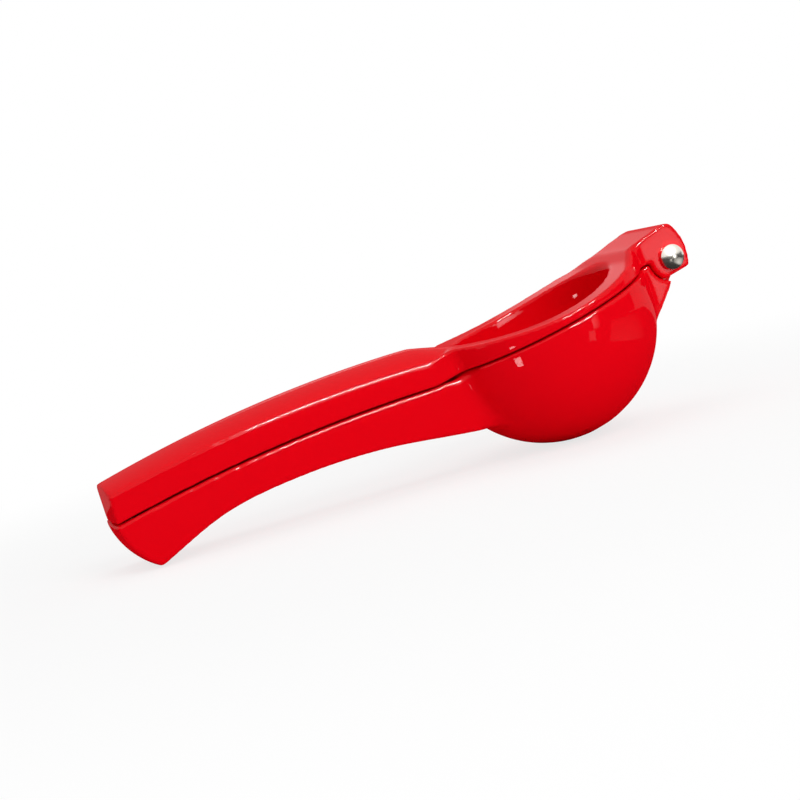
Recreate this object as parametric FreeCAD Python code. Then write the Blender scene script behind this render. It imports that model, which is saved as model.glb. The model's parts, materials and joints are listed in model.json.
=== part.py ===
import FreeCAD, Part
import math
import os

# Hinged lemon squeezer: two enamelled cast levers that turn on one steel rivet.
# It is drawn first with the origin at the bowl's centre, +X towards the hinge,
# +Y across and +Z square to the bowl's rim, and then tipped so that it stands
# on the bowl and on the end of the lower handle. All sizes are in millimetres.

# Bowl of the lower lever
bowl_radius = 37.5          # outside
bowl_wall = 2.8
rim_height = 2.9            # straight band from the bowl's centre up to the rim
seam_gap = 0.5              # between the closed levers, all round

# Juice holes in the bottom of the bowl
hole_radius = 1.9
hole_rings = ((0.0, 1, 0.0), (7.8, 6, 30.0), (15.5, 6, 0.0))   # ring radius, holes, first angle

# Press cup and flange of the upper lever
cup_wall = 2.5
cup_room = 4.5              # between the cup and the bowl, for the pressed lemon half
cup_centre_height = 1.0
flange_thickness = 2.9      # at its thinnest, beside the cup
saddle_rise = (3.3, 2.5)    # how far its top rises to the cup's edge, at the neck and at the hinge
saddle_out = 2.0            # its thinnest place, from the bowl's centre towards the hinge
neck_blend = 5.0            # upright fillets where the handle leaves the flange
hood_blend = 4.5            # and where the hinge does

# Hinge
hinge_length = 8.7          # from the bowl's outside to the hinge axis
hinge_up = 1.7              # above the bowl's centre
hinge_half_width = 14.6     # outer faces of the two ears
hood_top = 12.4             # top of the ears above the bowl's centre, over the hinge axis
hood_front = 11.9           # where the hood's top begins, in front of the hinge axis
hood_slope = 1.3            # how much lower it begins there
hood_back = 5.8             # behind the hinge axis
ear_bulge = 0.8             # how far the ears' back edge is rounded out
ear_below = 5.5             # the ears' lower edge under the hinge axis
ear_round = 7.3             # round of the ears over the lower lever's seat
ear_low_corner = 2.8
ear_top_corner = 3.2
tongue_half_width = 5.5
tongue_radius = 6.5
tongue_lean = 50.0          # degrees below level where the tongue's back leaves its round
seat_back_angle = 112.0     # degrees below level where the seat ends in the shoulder
nose_depth = 1.5            # blunt face between the seat and the shoulder's back
nose_angle = 114.4
shoulder_half_width = 13.7
shoulder_slope = 38.5       # degrees, back face of the shoulder below level
hinge_gap = 0.35            # between ears, tongue and seat

# Rivet
rivet_radius = 2.5
rivet_clearance = 0.06      # running fit in the tongue
rivet_head_radius = 4.1
rivet_head_height = 2.7
rivet_head_edge = 1.2       # straight edge under the dome
cap_spigot_radius = 1.5
cap_spigot_length = 1.3

# Handles: heights above the bowl's centre at the neck, half way and at the end
handle_half_width = 13.5
lip_width = 0.3             # how far the lower handle stands out under the upper one
neck_length = 6.8           # from the bowl's outside to where the handles leave the flange
handle_root = 13.5          # how far the lower handle is drawn in past the bowl's outside
upper_length = 108.9        # from the neck to the end of the upper handle
lower_length = 109.3
handle_wall = 2.6
end_wall = 3.4
end_spare = 6.0             # the handles are drawn this much too long, then cut by their end faces
channel_stop = 1.0          # metal left between the lower channel and the bowl's outside
seam_line = (3.15, 12.3, 15.7)
edge_line = (11.2, 21.1, 24.8)
crest_line = (16.9, 25.8, 27.9)
sole_line = (-14.0, -5.1, 0.5, 2.5, -1.8)      # underside of the lower handle, neck to foot
ramp_length = 15.0          # from the handle's crest down to the cup's edge
ramp_crown = 0.5            # arch that is left of the handle's top at the cup's edge
upper_end_slope = 11.0      # degrees that the upper end face leans out to the seam
lower_end_belly = 2.0       # the lower end face is rounded out between its top and its foot
lower_end_tuck = 6.2        # how far its foot sits back from its top
end_plan_radius = 120.0     # both end faces seen from above
sole_round = 2.0            # long lower edges of the lower handle
top_round = 1.5             # long upper edges of the upper handle

far = 200.0                 # larger than the object, for cutting tools

bowl_inside = bowl_radius - bowl_wall
cup_radius = bowl_inside - cup_room - cup_wall       # inside
flange_radius = bowl_radius + 0.1
flange_bottom = rim_height + seam_gap
hinge_out = bowl_radius + hinge_length      # like all that follow, from the bowl's centre
neck_out = bowl_radius + neck_length
upper_reach = neck_out + upper_length
lower_reach = neck_out + lower_length
hinge_axis = FreeCAD.Vector(hinge_out, 0, hinge_up)
across = FreeCAD.Vector(0, 1, 0)
up = FreeCAD.Vector(0, 0, 1)


def point(x, z, y=0.0):
    # Most of the outlines lie in the upright mid plane.
    return FreeCAD.Vector(x, y, z)


def around_hinge(radius, degrees):
    # A point beside the hinge; 0 degrees is straight back and 90 is straight up.
    angle = math.radians(degrees)
    return point(hinge_out + radius * math.cos(angle), hinge_up + radius * math.sin(angle))


def line(a, b):
    return Part.makeLine(a, b)


def arc(a, b, c):
    return Part.Arc(a, b, c).toShape()


def prism(edges, half_width):
    # A closed outline in the upright mid plane, widened to both sides alike.
    face = Part.Face(Part.Wire(edges))
    face.translate(-across * half_width)
    return face.extrude(across * 2 * half_width)


def hinge_arc(a, b):
    # The short way round the hinge from a to b, which lie equally far from it.
    middle = (a + b) * 0.5 - hinge_axis
    middle.normalize()
    return arc(a, hinge_axis + middle * (a - hinge_axis).Length, b)


def outline(points):
    closed = points + [points[0]]
    return [line(a, b) for a, b in zip(closed, closed[1:])]


def rod(radius, start, end, middle=hinge_axis):
    # A round bar along the hinge axis between two places across the object.
    foot = FreeCAD.Vector(middle.x, start, middle.z)
    return Part.makeCylinder(radius, end - start, foot, across)


def height_on_circle(x, xs, heights):
    # Height at x on the circle through three points.
    (x1, x2, x3), (z1, z2, z3) = xs, heights
    a, b = x2 - x1, z2 - z1
    c, d = x3 - x2, z3 - z2
    e = (x2 * x2 - x1 * x1 + z2 * z2 - z1 * z1) / 2
    f = (x3 * x3 - x2 * x2 + z3 * z3 - z2 * z2) / 2
    middle_x = (e * d - f * b) / (a * d - b * c)
    middle_z = (a * f - c * e) / (a * d - b * c)
    radius = math.hypot(x1 - middle_x, z1 - middle_z)
    side = 1 if z2 > middle_z else -1
    return middle_z + side * math.sqrt(radius ** 2 - (x - middle_x) ** 2)


def along_handle(x, heights):
    # Height of one of the upper handle's lines; before the neck it runs level.
    xs = (-neck_out, -(neck_out + upper_reach) / 2, -upper_reach)
    return height_on_circle(min(x, -neck_out), xs, heights)


def stations(start, end, count=5):
    return [start + (end - start) * i / (count - 1) for i in range(count)]


def arched_section(x, bottom, edge, crest, half_width):
    # Straight sides and an arched top.
    low_a, low_b = point(x, bottom, -half_width), point(x, bottom, half_width)
    top_a, top_b = point(x, edge, -half_width), point(x, edge, half_width)
    top = arc(top_a, point(x, crest), top_b)
    return Part.Wire([line(low_a, top_a), top, line(top_b, low_b), line(low_b, low_a)])


def handle_loft(xs, bottom_shift, top_drop, half_width):
    sections = []
    for x in xs:
        bottom = along_handle(x, seam_line) + bottom_shift
        edge = along_handle(x, edge_line) - top_drop
        crest = along_handle(x, crest_line) - top_drop
        sections.append(arched_section(x, bottom, edge, crest, half_width))
    return Part.makeLoft(sections, True, False)


def beyond_end(top, foot, belly):
    # Everything beyond an end face that is rounded out in plan and, by its belly, in height.
    run = top - foot
    run.normalize()
    out = FreeCAD.Vector(-run.z, 0, run.x)
    middle = (top + foot) * 0.5 + out * belly
    face = [arc(top, middle, foot)] if belly else [line(top, foot)]
    high, low = top + run * far, foot - run * far
    inner_high, inner_low = high - out * end_plan_radius, low - out * end_plan_radius
    edges = [line(high, top), *face, line(foot, low), line(low, inner_low),
             line(inner_low, inner_high), line(inner_high, high)]
    barrel = Part.Face(Part.Wire(edges)).revolve(inner_low, run, 360)
    block = Part.makeBox(far, far, far, point(top.x + neck_out - far, -far / 2, -far / 2))
    return block.cut(barrel)


def upper_end_tool():
    foot = point(-upper_reach, along_handle(-upper_reach, seam_line))
    lean = math.tan(math.radians(upper_end_slope))
    top = point(foot.x + handle_wall * lean, foot.z + handle_wall)
    return beyond_end(top, foot, 0)


def upper_handle():
    solid = handle_loft(stations(-neck_out, -upper_reach - end_spare), seam_gap / 2, 0, handle_half_width)
    long_edges = [edge for edge in solid.Edges
                  if edge.BoundBox.XLength > neck_out
                  and edge.Vertexes[0].Z > along_handle(edge.Vertexes[0].X, seam_line) + handle_wall]
    solid = solid.makeFillet(top_round, long_edges)
    return solid.cut(upper_end_tool())


def upper_channel():
    # The hollow underside of the upper handle, open towards the lower one.
    xs = stations(-neck_out, end_wall - upper_reach)
    return handle_loft(xs, -bowl_radius, handle_wall, handle_half_width - handle_wall)


def neck_ramp():
    # The arched top runs down to the flat top of the flange.
    start, end = -neck_out, ramp_length - neck_out
    low = flange_bottom
    rim = flange_top_at(end)
    first = arched_section(start, low, along_handle(start, edge_line),
                           along_handle(start, crest_line), handle_half_width)
    last = arched_section(end, low, rim - ramp_crown, rim, handle_half_width)
    return Part.makeLoft([first, last], True, True)


def flange_top_at(x):
    lowest = flange_bottom + flange_thickness
    return height_on_circle(x, (-cup_radius, saddle_out, cup_radius),
                            (lowest + saddle_rise[0], lowest, lowest + saddle_rise[1]))


def flange_tool():
    # Everything above the flange: a shallow saddle between the neck and the hood.
    neck_edge = along_handle(-neck_out, edge_line)
    behind_neck = point(-neck_out - neck_blend, neck_edge)
    neck = point(-flange_radius + neck_blend / 2, flange_top_at(-flange_radius + neck_blend / 2))
    bottom = point(saddle_out, flange_top_at(saddle_out))
    foot = point(cup_radius, flange_top_at(cup_radius))
    brow = point(hinge_out - hood_front, hood_top - hood_slope)
    peak = point(hinge_out, hood_top)
    back = point(hinge_out + hood_back + ear_bulge + neck_blend, hood_top)
    lid = [point(back.x, far), point(behind_neck.x, far)]
    edges = [line(behind_neck, neck), arc(neck, bottom, foot), line(foot, brow),
             line(brow, peak), line(peak, back)]
    edges += [line(back, lid[0]), line(lid[0], lid[1]), line(lid[1], behind_neck)]
    return prism(edges, far / 2)


def side_outline():
    # The flange's underside and the ears seen from the side, with the round over the seat.
    right = hinge_out + hood_back
    low = hinge_up - ear_below
    seam_x = hinge_out - math.sqrt(ear_round ** 2 - (flange_bottom - hinge_up) ** 2)
    low_x = hinge_out - math.sqrt(ear_round ** 2 - ear_below ** 2)
    seam, sole = point(seam_x, flange_bottom), point(low_x, low)
    share = 1 - math.sqrt(0.5)
    low_bend, top_bend = ear_low_corner * share, ear_top_corner * share
    low_corner = [point(right - ear_low_corner, low), point(right - low_bend, low + low_bend),
                  point(right, low + ear_low_corner)]
    top_corner = [point(right, hood_top - ear_top_corner), point(right - top_bend, hood_top - top_bend),
                  point(right - ear_top_corner, hood_top)]
    middle = point(right + ear_bulge, (low_corner[2].z + top_corner[0].z) / 2)
    peak = point(hinge_out, hood_top)
    peak_lid, front_lid, front = point(peak.x, far), point(-far, far), point(-far, flange_bottom)
    return [line(front, seam), hinge_arc(seam, sole),
            line(sole, low_corner[0]), arc(*low_corner), arc(low_corner[2], middle, top_corner[0]),
            arc(*top_corner), line(top_corner[2], peak), line(peak, peak_lid), line(peak_lid, front_lid),
            line(front_lid, front)]


def tongue_slot():
    # Room for the tongue to swing between the ears, closed above by the hood's roof.
    reach = tongue_radius + hinge_gap
    front, top = around_hinge(reach, 180), around_hinge(reach, 90)
    back = point(hinge_out + far, top.z)
    low_front, low_back = point(front.x, -far), point(back.x, -far)
    edges = [line(low_front, front), hinge_arc(front, top), line(top, back),
             line(back, low_back), line(low_back, low_front)]
    # Under the flange the slot also takes the part of the ears in front of the tongue.
    half = tongue_half_width + hinge_gap
    under = Part.makeBox(far, 2 * half, far,
                         point(hinge_out - ear_round - hinge_gap, flange_bottom - far, -half))
    return prism(edges, half).fuse(under)


def upright_corners(solid, x_side):
    # The four upright inner corners where a handle or hinge meets the round flange.
    found = []
    for edge in solid.Edges:
        a, b = edge.Vertexes[0].Point, edge.Vertexes[-1].Point
        upright = abs(a.x - b.x) < 1e-6 and abs(a.y - b.y) < 1e-6 and abs(a.z - b.z) > 1
        on_flange = abs(math.hypot(a.x, a.y) - flange_radius) < 1e-3
        if upright and on_flange and a.x * x_side > 0:
            found.append(edge)
    return found


def flange_plan():
    # Flange, neck and hinge block seen from above, drawn taller and deeper than they end up.
    low = hinge_up - ear_below
    tall = crest_line[-1] - low
    disc = Part.makeCylinder(flange_radius, tall, point(0, low), up)
    neck = Part.makeBox(neck_out, 2 * handle_half_width, tall,
                        point(-neck_out, low, -handle_half_width))
    block = Part.makeBox(hinge_out + hood_back + ear_bulge, 2 * hinge_half_width, tall,
                         point(0, low, -hinge_half_width))
    solid = disc.fuse([neck, block]).removeSplitter()
    solid = solid.makeFillet(neck_blend, upright_corners(solid, -1))
    return solid.makeFillet(hood_blend, upright_corners(solid, 1))


def press_cup(radius):
    ball = Part.makeSphere(radius, point(0, cup_centre_height))
    column = Part.makeCylinder(radius, far, point(0, cup_centre_height), up)
    return ball.fuse(column)


def upper_lever():
    body = flange_plan().cut(flange_tool()).common(prism(side_outline(), far / 2))
    cup = press_cup(cup_radius + cup_wall)
    lid = Part.makeBox(far, far, far, point(-far / 2, flange_bottom + flange_thickness / 2, -far / 2))
    body = body.fuse([cup.cut(lid), neck_ramp(), upper_handle()])
    body = body.cut(upper_channel()).cut(press_cup(cup_radius))
    body = body.cut(tongue_slot())
    body = body.cut(rod(rivet_radius, -far / 2, far / 2))
    return body.removeSplitter()


def bowl_shell(radius, top):
    # A half ball with a straight band above its centre.
    ball = Part.makeSphere(radius, point(0, 0))
    band = Part.makeCylinder(radius, top, point(0, 0), up)
    above = Part.makeBox(far, far, far, point(-far / 2, top, -far / 2))
    return ball.fuse(band).cut(above)


def juice_holes():
    holes = []
    for ring_radius, count, first in hole_rings:
        for i in range(count):
            angle = math.radians(first + 360 * i / count)
            foot = FreeCAD.Vector(ring_radius * math.cos(angle), ring_radius * math.sin(angle), 0)
            holes.append(Part.makeCylinder(hole_radius, far, foot - up * far, up))
    return holes


def lower_end_foot():
    return point(lower_end_tuck - lower_reach, sole_line[-1])


def flat_section(x, bottom, half_width):
    # It reaches above the seam, which cuts it later.
    low_a, low_b = point(x, bottom, -half_width), point(x, bottom, half_width)
    top_a, top_b = point(x, crest_line[-1], -half_width), point(x, crest_line[-1], half_width)
    return Part.Wire([line(low_a, top_a), line(top_a, top_b), line(top_b, low_b), line(low_b, low_a)])


def sole_loft(shift, half_width):
    # The body of the lower handle from inside the bowl's wall to past its end.
    xs = stations(-neck_out, lower_end_foot().x, len(sole_line))
    line_in = (sole_line[0] - sole_line[1]) / (xs[0] - xs[1])
    line_out = (sole_line[-1] - sole_line[-2]) / (xs[-1] - xs[-2])
    beyond = -lower_reach - end_spare
    first = handle_root - bowl_radius
    xs = [first, *xs, beyond]
    heights = [sole_line[0] + line_in * (neck_out + first), *sole_line,
               sole_line[-1] + line_out * (beyond - lower_end_foot().x)]
    sections = [flat_section(x, z + shift, half_width) for x, z in zip(xs, heights)]
    return Part.makeLoft(sections, True, False)


def above_seam(start):
    # Everything above the lower handle's top edges.
    xs = stations(-neck_out, -lower_reach - end_spare)
    top = [point(x, along_handle(x, seam_line) - seam_gap / 2) for x in xs]
    curve = Part.BSplineCurve()
    curve.interpolate(top)
    first = point(start, rim_height)
    lid = [point(top[-1].x, far), point(first.x, far)]
    edges = [line(first, top[0]), curve.toShape(), line(top[-1], lid[0]),
             line(lid[0], lid[1]), line(lid[1], first)]
    return prism(edges, far / 2)


def lower_end_tool():
    top = point(-lower_reach, along_handle(-lower_reach, seam_line))
    return beyond_end(top, lower_end_foot(), lower_end_belly)


def lower_handle():
    solid = sole_loft(0, handle_half_width + lip_width)
    long_edges = [edge for edge in solid.Edges
                  if edge.BoundBox.XLength > neck_out and edge.BoundBox.ZMax < seam_line[1]]
    solid = solid.makeFillet(sole_round, long_edges)
    return solid.cut(above_seam(0)).cut(lower_end_tool())


def lower_channel():
    # The hollow of the lower handle, between its sides, its end wall and the bowl.
    half = handle_half_width + lip_width - handle_wall
    hollow = sole_loft(handle_wall, half)
    end = Part.makeBox(far, far, far, point(end_wall - lower_reach - far, -far / 2, -far / 2))
    foot_side = lower_end_tool()
    foot_side.translate(FreeCAD.Vector(end_wall, 0, 0))
    return hollow.cut(end).cut(foot_side).cut(Part.makeSphere(bowl_radius + channel_stop, point(0, 0)))


def shoulder():
    # The block behind the bowl that carries the seat under the ears.
    seat = ear_round + hinge_gap
    seat_x = hinge_out - math.sqrt(seat ** 2 - (rim_height - hinge_up) ** 2)
    corner = around_hinge(seat, -seat_back_angle)
    nose = around_hinge(seat + nose_depth, -nose_angle)
    slope = math.radians(shoulder_slope)
    run = nose.x - cup_radius
    foot = point(nose.x - run, nose.z - run * math.tan(slope))
    inner = point(foot.x, rim_height)
    edges = [line(inner, point(seat_x, rim_height)),
             hinge_arc(point(seat_x, rim_height), corner),
             line(corner, nose), line(nose, foot), line(foot, inner)]
    return prism(edges, shoulder_half_width)


def tongue():
    # The round lug on the rivet, its neck and the rib that runs down to the bowl.
    back = around_hinge(tongue_radius, -tongue_lean)
    lean = math.radians(tongue_lean)
    length = back.x - cup_radius
    foot = point(back.x - length, back.z - length / math.tan(lean))
    front = hinge_out - math.sqrt(tongue_radius ** 2 - (rim_height - hinge_up) ** 2)
    edge = [point(front, rim_height), hinge_axis, back, foot, point(foot.x, rim_height)]
    neck = prism(outline(edge), tongue_half_width)
    return rod(tongue_radius, -tongue_half_width, tongue_half_width).fuse(neck)


def lower_lever():
    body = bowl_shell(bowl_radius, rim_height)
    body = body.fuse([lower_handle(), shoulder(), tongue()])
    inside = Part.makeSphere(bowl_inside, point(0, 0))
    column = Part.makeCylinder(bowl_inside, far, point(0, 0), up)
    body = body.cut(inside.fuse(column)).cut(lower_channel())
    body = body.cut(juice_holes())
    body = body.cut(rod(rivet_radius + rivet_clearance, -far / 2, far / 2))
    return body.removeSplitter()


def domed_head():
    # The head's flat face lies in the mid plane and its dome points to +Y.
    flat = rivet_head_edge
    rise = rivet_head_height - flat
    rim = FreeCAD.Vector(rivet_head_radius, flat, 0)
    slant = math.hypot(rivet_head_radius, rise) / 2
    radius = slant ** 2 * 2 / rise
    half = math.asin(rivet_head_radius / radius) / 2
    middle = FreeCAD.Vector(radius * math.sin(half), flat + rise - radius * (1 - math.cos(half)), 0)
    crown = FreeCAD.Vector(0, rivet_head_height, 0)
    origin = FreeCAD.Vector(0, 0, 0)
    edge = FreeCAD.Vector(rivet_head_radius, 0, 0)
    profile = Part.Wire([line(origin, edge), line(edge, rim), arc(rim, middle, crown),
                         line(crown, origin)])
    return Part.Face(profile).revolve(origin, across, 360)


def hinge_rivet():
    head = domed_head()
    head.rotate(FreeCAD.Vector(0, 0, 0), up, 180)
    head.translate(hinge_axis - across * hinge_half_width)
    shank = rod(rivet_radius, -hinge_half_width, hinge_half_width)
    spigot = rod(cap_spigot_radius, hinge_half_width, hinge_half_width + cap_spigot_length)
    return head.fuse([shank, spigot]).removeSplitter()


def rivet_cap():
    head = domed_head()
    head.translate(hinge_axis + across * hinge_half_width)
    return head.cut(rod(cap_spigot_radius, hinge_half_width, hinge_half_width + cap_spigot_length))


def standing_pitch():
    # Degrees from the rim plane to the line that touches the bowl and the handle's foot.
    foot = lower_end_foot()
    reach = math.hypot(foot.x, foot.z)
    return math.degrees(math.asin(bowl_radius / reach) - math.atan2(-foot.z, -foot.x))


def stand(shapes):
    # Tips the object onto its rest and puts the origin under the middle of its box.
    for shape in shapes.values():
        shape.rotate(FreeCAD.Vector(0, 0, 0), across, -standing_pitch())
        shape.translate(up * bowl_radius)
    boxes = [shape.optimalBoundingBox(False, False) for shape in shapes.values()]
    low = min(box.XMin for box in boxes)
    high = max(box.XMax for box in boxes)
    for shape in shapes.values():
        shape.translate(FreeCAD.Vector(-(low + high) / 2, 0, 0))
    turn = FreeCAD.Rotation(across, -standing_pitch())
    axis = turn.multVec(hinge_axis) + up * bowl_radius
    print("hinge axis in mm", round(axis.x - (low + high) / 2, 4), round(axis.z, 4))
    print("bowl centre in mm", round(-(low + high) / 2, 4), bowl_radius)
    print("pitch in degrees", round(standing_pitch(), 4))


shapes = {
    "lower_lever": lower_lever(),
    "upper_lever": upper_lever(),
    "hinge_rivet": hinge_rivet(),
    "rivet_cap": rivet_cap(),
}
stand(shapes)
os.makedirs("parts", exist_ok=True)
for name, shape in shapes.items():
    print(name, "solids", len(shape.Solids), "valid", shape.isValid(), "volume", round(shape.Volume, 1))
    shape.exportStep(os.path.join("parts", name + ".step"))
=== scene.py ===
import json
import math

import bmesh
import bpy
from mathutils import Matrix, Quaternion, Vector


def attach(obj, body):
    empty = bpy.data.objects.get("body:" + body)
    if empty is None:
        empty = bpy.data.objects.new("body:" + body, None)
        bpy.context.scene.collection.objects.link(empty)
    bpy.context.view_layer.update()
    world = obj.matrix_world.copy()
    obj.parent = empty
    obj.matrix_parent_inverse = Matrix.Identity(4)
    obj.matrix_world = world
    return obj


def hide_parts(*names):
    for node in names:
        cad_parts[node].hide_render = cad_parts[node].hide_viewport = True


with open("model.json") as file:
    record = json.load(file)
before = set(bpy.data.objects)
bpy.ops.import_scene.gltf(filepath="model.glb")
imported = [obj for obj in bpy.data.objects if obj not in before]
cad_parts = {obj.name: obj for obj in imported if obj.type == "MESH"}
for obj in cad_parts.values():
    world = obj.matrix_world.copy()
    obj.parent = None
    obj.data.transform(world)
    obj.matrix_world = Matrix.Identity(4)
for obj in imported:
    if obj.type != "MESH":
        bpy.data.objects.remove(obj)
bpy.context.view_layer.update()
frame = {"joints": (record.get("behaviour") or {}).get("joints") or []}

# Hinged lemon squeezer. The pieces are drawn in millimetres with the bowl's centre at the
# origin, +X towards the hinge and +Z square to the bowl's rim, then stood up and made metres.

bowl = {
    "radius": 37.5,
    "wall": 2.8,
    "rimHeight": 2.9,       # straight band above the ball's centre
    "seamGap": 0.5,
    "holeRadius": 1.9,
    "holeRings": ((0.0, 1, 0.0), (7.8, 6, 30.0), (15.5, 6, 0.0)),  # ring radius, holes, first angle
}

hinge = {
    "out": 46.2,
    "up": 1.7,
    "halfWidth": 14.6,
    "tongueHalfWidth": 5.5,
    "tongueRadius": 6.5,
    "gap": 0.35,
    "boreRadius": 2.5,
    "boreRoom": 0.1,        # round the rivet in the tongue
    "seatRadius": 7.3,      # round of the ears over the lower lever's seat
}

handle = {
    "halfWidth": 13.5,
    "neckOut": 44.3,
    "upperReach": 153.2,
    "lowerReach": 153.6,
    "wall": 2.6,
    "endWall": 3.4,
    "spare": 6.0,           # drawn this much too long, then cut by the end face
    "seam": (3.15, 12.3, 15.7),     # heights at the neck, half way and at the end
    "edge": (11.2, 21.1, 24.8),
    "crest": (16.9, 25.8, 27.9),
    "planRadius": 120.0,    # both end faces seen from above
    "upperEndSlope": 11.0,  # degrees that the upper end face leans out to the seam
}

softening = {
    # Passes of smoothing: over the whole skin, then where each weight function says so.
    "skin": 8,
    "brow": 40,
    "ramp": 30,
    "topEdge": 24,
    "handleCrease": 120,
    "shoulderCrease": 16,
}

beyond = 60             # cutting tools reach this far, past everything that they cut
across = 30             # half the length of those that only go across the object

hingePlace = Vector(frame["joints"][0]["pos_m"]) * 1000


def pickOnly(piece):
    bpy.ops.object.select_all(action="DESELECT")
    piece.select_set(True)
    bpy.context.view_layer.objects.active = piece


def settle(name):
    # A new primitive takes its name and keeps its place in its mesh.
    piece = bpy.context.active_object
    piece.name = name
    bpy.ops.object.transform_apply(location=True, rotation=True, scale=True)
    return piece


def addBox(name, low, high):
    bpy.ops.object.select_all(action="DESELECT")
    middle = [(a + b) / 2 for a, b in zip(low, high)]
    bpy.ops.mesh.primitive_cube_add(size=1, location=middle, scale=[b - a for a, b in zip(low, high)])
    return settle(name)


def addDrum(name, radius, low, high, x=0.0, y=0.0, sides=256):
    bpy.ops.object.select_all(action="DESELECT")
    bpy.ops.mesh.primitive_cylinder_add(vertices=sides, radius=radius, depth=high - low,
                                        location=(x, y, (low + high) / 2))
    return settle(name)


def addRod(name, radius, start, end, sides=128, place=(hinge["out"], hinge["up"])):
    # A round bar across the object, along the hinge's axis unless another place is given.
    bpy.ops.object.select_all(action="DESELECT")
    bpy.ops.mesh.primitive_cylinder_add(vertices=sides, radius=radius, depth=end - start,
                                        location=(place[0], (start + end) / 2, place[1]),
                                        rotation=(math.pi / 2, 0, 0))
    return settle(name)


def addBall(name, radius, z=0.0):
    bpy.ops.object.select_all(action="DESELECT")
    bpy.ops.mesh.primitive_uv_sphere_add(segments=240, ring_count=120, radius=radius, location=(0, 0, z))
    return settle(name)


def combine(piece, operation, *tools):
    for tool in tools:
        step = piece.modifiers.new("combine", "BOOLEAN")
        step.operation = operation
        step.solver = "MANIFOLD"
        step.object = tool
        pickOnly(piece)
        bpy.ops.object.modifier_apply(modifier=step.name)
        bpy.data.objects.remove(tool)
    return piece


def pickVertices(piece, wanted):
    shape = bmesh.from_edit_mesh(piece.data)
    for vertex in shape.verts:
        vertex.select_set(wanted(vertex.co))
    shape.select_flush(True)
    bmesh.update_edit_mesh(piece.data)


def addBar(name, halfWidth, stations, strips=1, smooth=True):
    # A bar along X. Each station gives x, the underside, the sides' top and the crown's top.
    x, low, edge, crest = stations[0]
    bpy.ops.object.select_all(action="DESELECT")
    bpy.ops.mesh.primitive_grid_add(x_subdivisions=strips, y_subdivisions=1, size=1,
                                    location=(x, 0, (low + edge) / 2),
                                    rotation=(math.pi / 2, 0, math.pi / 2))
    bar = settle(name)
    bpy.ops.object.mode_set(mode="EDIT")
    bpy.ops.mesh.select_all(action="SELECT")
    bpy.ops.transform.resize(value=(1, 2 * halfWidth, edge - low),
                             center_override=(x, 0, (low + edge) / 2))
    rise = crest - edge
    if rise > 0:
        arch = (halfWidth ** 2 + rise ** 2) / (2 * rise)
        for i in range(1, strips // 2 + 1):
            y = halfWidth * (1 - 2 * i / strips)
            lift = math.sqrt(arch ** 2 - y ** 2) - (arch - rise)
            pickVertices(bar, lambda co: abs(abs(co.y) - y) < 0.01 and co.z > (low + edge) / 2)
            bpy.ops.transform.translate(value=(0, 0, lift))
    bpy.ops.mesh.select_all(action="SELECT")
    for nextX, nextLow, nextEdge, nextCrest in stations[1:]:
        bpy.ops.mesh.extrude_region_move(TRANSFORM_OT_translate={"value": (nextX - x, 0, 0)})
        middle = (low + edge) / 2
        pickVertices(bar, lambda co: abs(co.x - nextX) < 0.001 and co.z < middle)
        bpy.ops.transform.translate(value=(0, 0, nextLow - low))
        newMiddle = middle if nextLow < middle else (nextLow + edge) / 2
        pickVertices(bar, lambda co: abs(co.x - nextX) < 0.001 and co.z > newMiddle)
        if rise > 0:
            stretch = (nextCrest - nextEdge) / rise
            bpy.ops.transform.resize(value=(1, 1, stretch), center_override=(nextX, 0, edge))
        bpy.ops.transform.translate(value=(0, 0, nextEdge - edge))
        pickVertices(bar, lambda co: abs(co.x - nextX) < 0.001)
        x, low, edge, crest = nextX, nextLow, nextEdge, nextCrest
        rise = crest - edge
    bpy.ops.mesh.select_all(action="SELECT")
    bpy.ops.mesh.normals_make_consistent(inside=False)
    if smooth:
        bpy.ops.mesh.select_all(action="DESELECT")
        bpy.ops.mesh.select_mode(type="EDGE")
        bpy.ops.mesh.edges_select_sharp(sharpness=math.radians(28))
        bpy.ops.transform.edge_crease(value=1)
        bpy.ops.mesh.select_mode(type="VERT")
    bpy.ops.object.mode_set(mode="OBJECT")
    if smooth:
        step = bar.modifiers.new("smooth", "SUBSURF")
        step.levels = step.render_levels = 2
        bpy.ops.object.modifier_apply(modifier=step.name)
    return bar


def circleHeight(x, xs, heights):
    # Height at x on the circle through three points.
    (x1, x2, x3), (z1, z2, z3) = xs, heights
    a, b = x2 - x1, z2 - z1
    c, d = x3 - x2, z3 - z2
    e = (x2 * x2 - x1 * x1 + z2 * z2 - z1 * z1) / 2
    f = (x3 * x3 - x2 * x2 + z3 * z3 - z2 * z2) / 2
    middleX = (e * d - f * b) / (a * d - b * c)
    middleZ = (a * f - c * e) / (a * d - b * c)
    radius = math.hypot(x1 - middleX, z1 - middleZ)
    side = 1 if z2 > middleZ else -1
    return middleZ + side * math.sqrt(radius ** 2 - (x - middleX) ** 2)


def alongHandle(x, heights):
    # Height of one of the handles' long lines; before the neck it runs level.
    xs = (-handle["neckOut"], -(handle["neckOut"] + handle["upperReach"]) / 2, -handle["upperReach"])
    return circleHeight(min(x, -handle["neckOut"]), xs, heights)


def spread(start, end, count):
    return [start + (end - start) * i / (count - 1) for i in range(count)]


def weld(piece, voxel):
    # One even skin over the joined castings, with its sharp edges softened as enamel does.
    step = piece.modifiers.new("skin", "REMESH")
    step.mode = "VOXEL"
    step.voxel_size = voxel
    pickOnly(piece)
    bpy.ops.object.modifier_apply(modifier=step.name)
    step = piece.modifiers.new("soften", "SMOOTH")
    step.factor = 0.5
    step.iterations = softening["skin"]
    bpy.ops.object.modifier_apply(modifier=step.name)


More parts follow.
